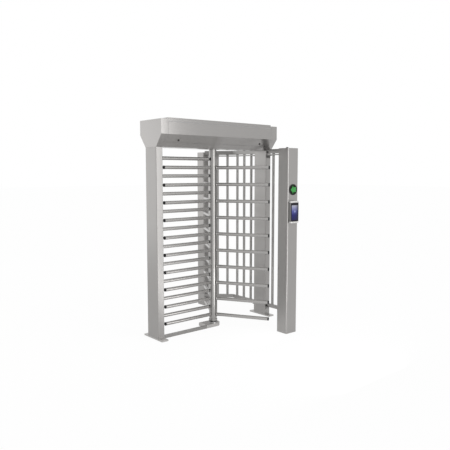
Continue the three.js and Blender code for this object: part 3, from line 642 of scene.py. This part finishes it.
# Key locks on the slope of the door. Their axis points into the case.
LOCK_AXIS = Vector((0, 0.78802, 0.61564))
LOCK_PROUD = 0.0033
LOCK_FACE_RADIUS = 0.012
LOCK_FACE_DEPTH = 0.003
LOCK_RADIUS = 0.0095
LOCK_END = 0.0095
LOCK_DISH = [(0, 0.0007), (0.0066, 0.0004), (0.0070, 0), (0.0100, 0), (0.0116, 0.0008)]
CAM_HALF = 0.007
CAM_LENGTH = 0.039
CAM_THICKNESS = 0.003
CAM_EDGE = 0.0006
KEY_HALF_WIDTH = 0.0008
KEY_HALF_LENGTH = 0.0034
KEY_DEPTH = 0.0009
KEY_EDGE = 0.0002
for side, x, away in (("left", -LOCK_X, 1), ("right", LOCK_X, -1)):
    body = f"{side}_lock"
    slope_y = -CASE_FLOOR_HALF - LOCK_RISE * SLOPE_OUT / SLOPE_RISE
    face = Vector((x, slope_y, CASE_FLOOR + LOCK_RISE)) - LOCK_AXIS * LOCK_PROUD
    barrel = bmesh.new()
    lathe(barrel, place_at(face, LOCK_AXIS), LOCK_DISH + [
        (LOCK_FACE_RADIUS, 0.0018), (LOCK_FACE_RADIUS, LOCK_FACE_DEPTH),
        (LOCK_RADIUS, LOCK_FACE_DEPTH), (LOCK_RADIUS, LOCK_END), (0, LOCK_END)])
    settle(f"{side}_lock_barrel", barrel, body, lock_dark, (f"{side}_door_lock",))
    # The cam and the key slot are drawn along Y and turned onto the lock
    sideways = Vector((-away, 0, 0))
    basis = Matrix((sideways, LOCK_AXIS.cross(sideways), LOCK_AXIS)).transposed().to_4x4()
    basis = basis @ Matrix.Rotation(-math.pi / 2, 4, "Z")
    basis.translation = face
    cam, key_slot = bmesh.new(), bmesh.new()
    bar(cam, (-CAM_HALF, -CAM_HALF, LOCK_END - CAM_THICKNESS), (CAM_HALF, CAM_LENGTH, LOCK_END), CAM_EDGE)
    bar(key_slot, (-KEY_HALF_WIDTH, -KEY_HALF_LENGTH, GAP),
        (KEY_HALF_WIDTH, KEY_HALF_LENGTH, KEY_DEPTH), KEY_EDGE)
    for bm in (cam, key_slot):
        bmesh.ops.transform(bm, matrix=basis, verts=bm.verts)
    settle(f"{side}_lock_cam", cam, body, zinc)
    settle(f"{side}_lock_key_slot", key_slot, body, black_plastic)

# Pass indicator
BEZEL_WIDTH = 0.008
BEZEL_FLOOR = 0.0015
LENS_BACK = 0.0017
LENS_FRONT = 0.006
LENS_PLAY = 0.0004
lo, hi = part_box("indicator_bezel")
indicator = Vector(((lo.x + hi.x) / 2, hi.y, (lo.z + hi.z) / 2))
radius = (hi.x - lo.x) / 2
depth = hi.y - lo.y
lens_radius = radius - BEZEL_WIDTH
front = place_at(indicator, (0, -1, 0))
bm = bmesh.new()
lathe(bm, front, [
    (0, 0), (radius - 0.0008, 0), (radius, 0.001), (radius, depth - 0.003),
    (radius - 0.001, depth - 0.001), (radius - 0.003, depth), (lens_radius + 0.002, depth),
    (lens_radius, depth - 0.0015), (lens_radius, BEZEL_FLOOR), (0, BEZEL_FLOOR)], FINE_SIDES)
settle("indicator_housing", bm, "frame", black_plastic, ("indicator_bezel",))
glass_radius = lens_radius - LENS_PLAY
bm = bmesh.new()
lathe(bm, front, [
    (0, LENS_BACK), (glass_radius, LENS_BACK), (glass_radius, LENS_FRONT - 0.0008),
    (glass_radius - 0.0008, LENS_FRONT), (0, LENS_FRONT)], FINE_SIDES)
settle("indicator_smoked_lens", bm, "frame", lens_black, ("indicator_lens",))

# Its dots stand in rows, and the lit ones form a plain arrow to the left
DIODE_PITCH = 0.0075
DIODE_RADIUS = 0.0034
DIODE_DEPTH = 0.0013
DIODE_ROWS = 6
DIODE_MARGIN = 0.006
DIODE_SIDES = 10
DIODE_DOME = [(0, -0.0002), (DIODE_RADIUS, -0.0002), (DIODE_RADIUS, 0.0003),
              (DIODE_RADIUS * 0.75, DIODE_DEPTH * 0.8), (0, DIODE_DEPTH)]
HEAD_TIP = -0.041
HEAD_START = -0.038
HEAD_END = -0.007
HEAD_WIDENING = 1.15
SHAFT_START = -0.001
SHAFT_END = 0.046
SHAFT_HALF = 0.024
lit, unlit = bmesh.new(), bmesh.new()
for row in range(-DIODE_ROWS, DIODE_ROWS + 1):
    for column in range(-DIODE_ROWS, DIODE_ROWS + 1):
        across = column * DIODE_PITCH
        rise = row * DIODE_PITCH
        if math.hypot(across, rise) > lens_radius - DIODE_MARGIN:
            continue
        head = HEAD_START <= across <= HEAD_END and abs(rise) <= (across - HEAD_TIP) * HEAD_WIDENING
        shaft = SHAFT_START <= across <= SHAFT_END and abs(rise) <= SHAFT_HALF
        target = lit if head or shaft else unlit
        spot = indicator + Vector((across, -LENS_FRONT, rise))
        lathe(target, place_at(spot, (0, -1, 0)), DIODE_DOME, DIODE_SIDES)
settle("indicator_lit_diodes", lit, "frame", diode_green)
settle("indicator_unlit_diodes", unlit, "frame", diode_dark)

# Access terminal
CORNER = 0.012
BACK_CORNER = 0.002
CROWN = 0.004
BODY_INSET = 0.0008
END_BAND = 0.018
END_GAP = 0.001
END_INSET = 0.006
END_ROUND = 0.008
END_STEPS = 5
lo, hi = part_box("terminal_frame")
screen_lo, screen_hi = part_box("terminal_screen")
left, right = lo.x, hi.x
face_y, back_y = screen_lo.y, hi.y


def terminal_ring(inset, z):
    low, high = (left + inset, face_y + inset), (right - inset, back_y)
    radii = (CORNER - inset, CORNER - inset, BACK_CORNER, BACK_CORNER)
    return level(outline(low, high, radii, CROWN), z)


bm = bmesh.new()
skin(bm, [terminal_ring(BODY_INSET, lo.z + END_BAND), terminal_ring(BODY_INSET, hi.z - END_BAND)])
settle("terminal_body", bm, "frame", side_grey, ("terminal_frame",))
bm = bmesh.new()
for end, way in ((lo.z, 1), (hi.z, -1)):
    rings = []
    for i in range(END_STEPS + 1):
        angle = math.radians(90 * i / END_STEPS)
        inset = END_INSET * (1 - math.sin(angle))
        rise = END_ROUND * (1 - math.cos(angle))
        rings.append(terminal_ring(inset, end + way * rise))
    rings.append(terminal_ring(0.0, end + way * (END_BAND - END_GAP)))
    rings.append(terminal_ring(BODY_INSET, end + way * END_BAND))
    skin(bm, rings)
settle("terminal_end_bands", bm, "frame", silver)

# The black glass covers the whole front and follows its crown and round edges
GLASS_MARGIN = 0.002
GLASS_STEPS = 28
GLASS_THICKNESS = 0.004
GLASS_EDGE = 0.0006
GLASS_EDGE_HEIGHT = 0.0008


def glass_ring(inset, depth, z):
    middle = (left + right) / 2
    reach = (right - left) / 2
    half = reach - GLASS_MARGIN - inset
    points = []
    for i in range(GLASS_STEPS + 1):
        x = middle - half + 2 * half * i / GLASS_STEPS
        past = max(0.0, abs(x - middle) - (reach - CORNER))
        bend = CROWN * ((x - middle) / reach) ** 2 + CORNER - math.sqrt(CORNER ** 2 - past ** 2)
        points.append(Vector((x, face_y + bend + depth, z)))
    thickness = Vector((0, GLASS_THICKNESS - depth * 0.5, 0))
    return points + [point + thickness for point in reversed(points)]


glass_low = lo.z + END_BAND + END_GAP
glass_high = hi.z - END_BAND - END_GAP
glass = bmesh.new()
skin(glass, [
    glass_ring(GLASS_EDGE, GLASS_EDGE, glass_low), glass_ring(0.0, 0.0, glass_low + GLASS_EDGE_HEIGHT),
    glass_ring(0.0, 0.0, glass_high - GLASS_EDGE_HEIGHT), glass_ring(GLASS_EDGE, GLASS_EDGE, glass_high)])

# The lit area behind it shows a plain gradient with one soft bright spot. Its light also fades from the
# middle to the right edge, a painted reflection that keeps the left part lighter.
AREA_LEFT, AREA_RIGHT = screen_lo.x + 0.002, screen_hi.x - 0.014
AREA_LOW, AREA_HIGH = glass_low + 0.014, glass_high - 0.026
AREA_SOFT = 0.0015
AREA_STOPS = ((0.0, (0.002, 0.002, 0.060)), (0.35, (0.008, 0.010, 0.130)),
              (0.6, (0.075, 0.085, 0.30)), (0.85, (0.28, 0.29, 0.45)), (1.0, (0.42, 0.42, 0.50)))
# Share of the light left at the right edge by the painted reflection
SHEEN_RIGHT_SHARE = 0.35
SPOT_COLOUR = (1.6, 1.8, 2.2)
SPOT_HEIGHT = 0.58
SPOT_RADIUS = 0.022
SPOT_LIGHT = 0.45


def display_glass():
    """Black glass over a lit panel."""
    material, tree, bsdf = shader("display_glass")
    bsdf.inputs["Specular IOR Level"].default_value = 0.2
    bsdf.inputs["Emission Strength"].default_value = 1.0
    coordinates = add(tree, "ShaderNodeTexCoord")
    axes = add(tree, "ShaderNodeSeparateXYZ")
    tree.links.new(coordinates.outputs["Object"], axes.inputs["Vector"])
    across, height = axes.outputs["X"], axes.outputs["Z"]
    middle = (AREA_LEFT + AREA_RIGHT) / 2
    # Painted reflection: the light falls from the middle to the right edge, as if gloss lay on the left
    # of the glass
    area_with_sheen = spread(tree, across, 1.0, SHEEN_RIGHT_SHARE, middle, AREA_RIGHT)
    for value, start, end in ((across, AREA_LEFT, AREA_RIGHT), (height, AREA_LOW, AREA_HIGH)):
        rise = spread(tree, value, 0.0, 1.0, start, start + AREA_SOFT)
        fall = spread(tree, value, 1.0, 0.0, end - AREA_SOFT, end)
        area_with_sheen = combine(tree, "MULTIPLY", area_with_sheen, combine(tree, "MULTIPLY", rise, fall))
    ramp = add(tree, "ShaderNodeValToRGB")
    stops = ramp.color_ramp.elements
    while len(stops) < len(AREA_STOPS):
        stops.new(0.5)
    for stop, (position, colour) in zip(stops, AREA_STOPS):
        stop.position = position
        stop.color = (*colour, 1)
    tree.links.new(spread(tree, height, 0.0, 1.0, AREA_LOW, AREA_HIGH), ramp.inputs["Fac"])
    spot = add(tree, "ShaderNodeVectorMath", operation="DISTANCE")
    tree.links.new(coordinates.outputs["Object"], spot.inputs[0])
    spot.inputs[1].default_value = (middle, face_y, AREA_LOW + (AREA_HIGH - AREA_LOW) * SPOT_HEIGHT)
    glow = spread(tree, spot.outputs["Value"], SPOT_LIGHT, 0.0, 0.0, SPOT_RADIUS)
    glow = combine(tree, "MULTIPLY", glow, glow)
    lit_area = tint(tree, glow, ramp.outputs["Color"], SPOT_COLOUR, "ADD")
    tree.links.new(tint(tree, area_with_sheen, (0, 0, 0), lit_area), bsdf.inputs["Emission Color"])
    smear = noise(tree, object_place(tree), 40.0, 3.0, 0.5)
    shade = tint(tree, smear, (0.006, 0.006, 0.008), (0.012, 0.012, 0.016))
    tree.links.new(shade, bsdf.inputs["Base Color"])
    tree.links.new(spread(tree, smear, 0.05, 0.12), bsdf.inputs["Roughness"])
    return material


settle("terminal_display", glass, "frame", display_glass(), ("terminal_screen",), 50)

# Fasteners
SCREW_SIDES = 18
SCREW_RADIUS = 0.0048
SCREW_HEIGHT = 0.0032
SCREW_SHOULDER = 0.86
SCREW_SOCKET = 0.5
SCREW_FLOOR = 0.35
SCREW_INSET = 0.015
SCREW_RISE = 0.014
LEG_THICKNESS = 0.005


def screw_head(bm, spot, direction):
    """A domed head with a recess in its top."""
    rim = SCREW_RADIUS * SCREW_SOCKET
    floor_height = SCREW_HEIGHT * SCREW_FLOOR
    lathe(bm, place_at(spot, direction), [
        (0, 0), (SCREW_RADIUS, 0), (SCREW_RADIUS, floor_height),
        (SCREW_RADIUS * SCREW_SHOULDER, SCREW_HEIGHT * 0.8), (rim, SCREW_HEIGHT),
        (rim * 0.95, floor_height), (0, floor_height)], SCREW_SIDES)


bm = bmesh.new()
for side, way in (("back", 1), ("front", -1), ("end", -1)):
    for end in ("top", "bottom"):
        lo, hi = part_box(f"{side}_{end}_bracket")
        # The upright leg's free face looks away from the post that it is screwed to
        leg_y = lo.y + LEG_THICKNESS if way > 0 else hi.y - LEG_THICKNESS
        for x in (lo.x + SCREW_INSET, hi.x - SCREW_INSET):
            screw_head(bm, (x, leg_y + way * GAP, lo.z + SCREW_RISE), (0, way, 0))
settle("bracket_screws", bm, "frame", screw_steel)

ANCHOR_RADIUS = 0.0067
ANCHOR_SOCKET = 0.0032
ANCHOR_DROP = 0.0004
ANCHOR_SOCKET_DEPTH = 0.004
ANCHOR_DEPTH = 0.008


def anchor_screw(bm, x, y, z):
    """A countersunk head with a socket, just below the face at z."""
    lathe(bm, Matrix.Translation((x, y, z)), [
        (0, -ANCHOR_DEPTH), (ANCHOR_RADIUS * 0.6, -ANCHOR_DEPTH), (ANCHOR_RADIUS, -0.002),
        (ANCHOR_RADIUS, -2 * ANCHOR_DROP), (ANCHOR_RADIUS - ANCHOR_DROP, -ANCHOR_DROP),
        (ANCHOR_SOCKET, -ANCHOR_DROP), (ANCHOR_SOCKET, -ANCHOR_SOCKET_DEPTH),
        (0, -ANCHOR_SOCKET_DEPTH)], SCREW_SIDES)


bm = bmesh.new()
for name in ("left_base_plate", "right_base_plate"):
    lo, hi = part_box(name)
    for y in (-ANCHOR_Y, ANCHOR_Y):
        anchor_screw(bm, (lo.x + hi.x) / 2, y, hi.z)
settle("anchor_screws", bm, "frame", zinc)

# Camera
camera_data = bpy.data.cameras.new("photo_camera")
camera_data.lens = CAMERA_LENS
camera_data.sensor_width = CAMERA_SENSOR
camera = bpy.data.objects.new("photo_camera", camera_data)
camera.location = CAMERA_PLACE
camera.rotation_euler = [math.radians(angle) for angle in CAMERA_TURN]
bpy.context.scene.collection.objects.link(camera)
bpy.context.scene.camera = camera

# Floor: nearly white where it is seen, greyer where it is mirrored
FLOOR_HALF = 60.0
FLOOR_HEIGHT = -0.0005
FLOOR_COLOUR = (0.93, 0.93, 0.93, 1)
FLOOR_SEEN = 0.94
FLOOR_MIRRORED = 0.60
WHITE = (1, 1, 1, 1)
bm = bmesh.new()
floor_corners = ((-1, -1), (1, -1), (1, 1), (-1, 1))
bm.faces.new([bm.verts.new((x * FLOOR_HALF, y * FLOOR_HALF, FLOOR_HEIGHT)) for x, y in floor_corners])
mesh = bpy.data.meshes.new("studio_floor")
bm.to_mesh(mesh)
bm.free()
floor = bpy.data.objects.new("studio_floor", mesh)
bpy.context.scene.collection.objects.link(floor)
floor_material, tree, bsdf = shader("studio_floor")
bsdf.inputs["Base Color"].default_value = FLOOR_COLOUR
bsdf.inputs["Roughness"].default_value = 0.9
bsdf.inputs["Specular IOR Level"].default_value = 0.0
path = add(tree, "ShaderNodeLightPath")
glow = add(tree, "ShaderNodeEmission")
glow.inputs["Color"].default_value = WHITE
mixed = add(tree, "ShaderNodeMixShader")
seen = combine(tree, "MULTIPLY", path.outputs["Is Camera Ray"], FLOOR_SEEN)
mirrored = combine(tree, "MAXIMUM", path.outputs["Is Glossy Ray"], path.outputs["Is Transmission Ray"])
mirrored = combine(tree, "MULTIPLY", mirrored, FLOOR_MIRRORED)
tree.links.new(combine(tree, "MAXIMUM", seen, mirrored), mixed.inputs["Fac"])
tree.links.new(bsdf.outputs["BSDF"], mixed.inputs[1])
tree.links.new(glow.outputs["Emission"], mixed.inputs[2])
tree.links.new(mixed.outputs["Shader"], tree.nodes["Material Output"].inputs["Surface"])
floor.data.materials.append(floor_material)

# World: white where it is seen or mirrored, softer where it lights
WORLD_LIGHT = 0.9
world = bpy.data.worlds.new("studio_world")
bpy.context.scene.world = world
world.use_nodes = True
tree = world.node_tree
background = tree.nodes["Background"]
background.inputs["Color"].default_value = WHITE
background.inputs["Strength"].default_value = WORLD_LIGHT
white = add(tree, "ShaderNodeBackground")
white.inputs["Color"].default_value = WHITE
white.inputs["Strength"].default_value = 1.0
path = add(tree, "ShaderNodeLightPath")
mixed = add(tree, "ShaderNodeMixShader")
seen = combine(tree, "MAXIMUM", path.outputs["Is Camera Ray"], path.outputs["Is Glossy Ray"])
seen = combine(tree, "MAXIMUM", seen, path.outputs["Is Transmission Ray"])
tree.links.new(seen, mixed.inputs["Fac"])
tree.links.new(background.outputs["Background"], mixed.inputs[1])
tree.links.new(white.outputs["Background"], mixed.inputs[2])
tree.links.new(mixed.outputs["Shader"], tree.nodes["World Output"].inputs["Surface"])


# Lamps
def softbox(name, azimuth, distance, height, width, tall, radiance, aim_height):
    """A rectangular soft lamp that looks at the rotor's axis."""
    lamp = bpy.data.lights.new(name, "AREA")
    lamp.shape = "RECTANGLE"
    lamp.size = width
    lamp.size_y = tall
    lamp.energy = radiance * math.pi * width * tall
    piece = bpy.data.objects.new(name, lamp)
    angle = math.radians(azimuth)
    spot = Vector((distance * math.cos(angle), distance * math.sin(angle), height))
    piece.location = spot
    aim = Vector((0, 0, aim_height)) - spot
    piece.rotation_euler = aim.to_track_quat("-Z", "Y").to_euler()
    bpy.context.scene.collection.objects.link(piece)


softbox("front_strip", azimuth=-89, distance=2.2, height=2.1, width=0.95, tall=4.2,
        radiance=2.55, aim_height=2.1)
softbox("side_softbox", azimuth=122, distance=7.0, height=1.2, width=2.8, tall=4.2,
        radiance=0.65, aim_height=1.1)
# The low strip goes on where the floor cuts off the tall one in the column's mirror image
softbox("low_strip", azimuth=-89, distance=0.9, height=0.25, width=0.36, tall=0.48,
        radiance=2.3, aim_height=0.25)

bpy.context.scene.view_settings.view_transform = "Standard"
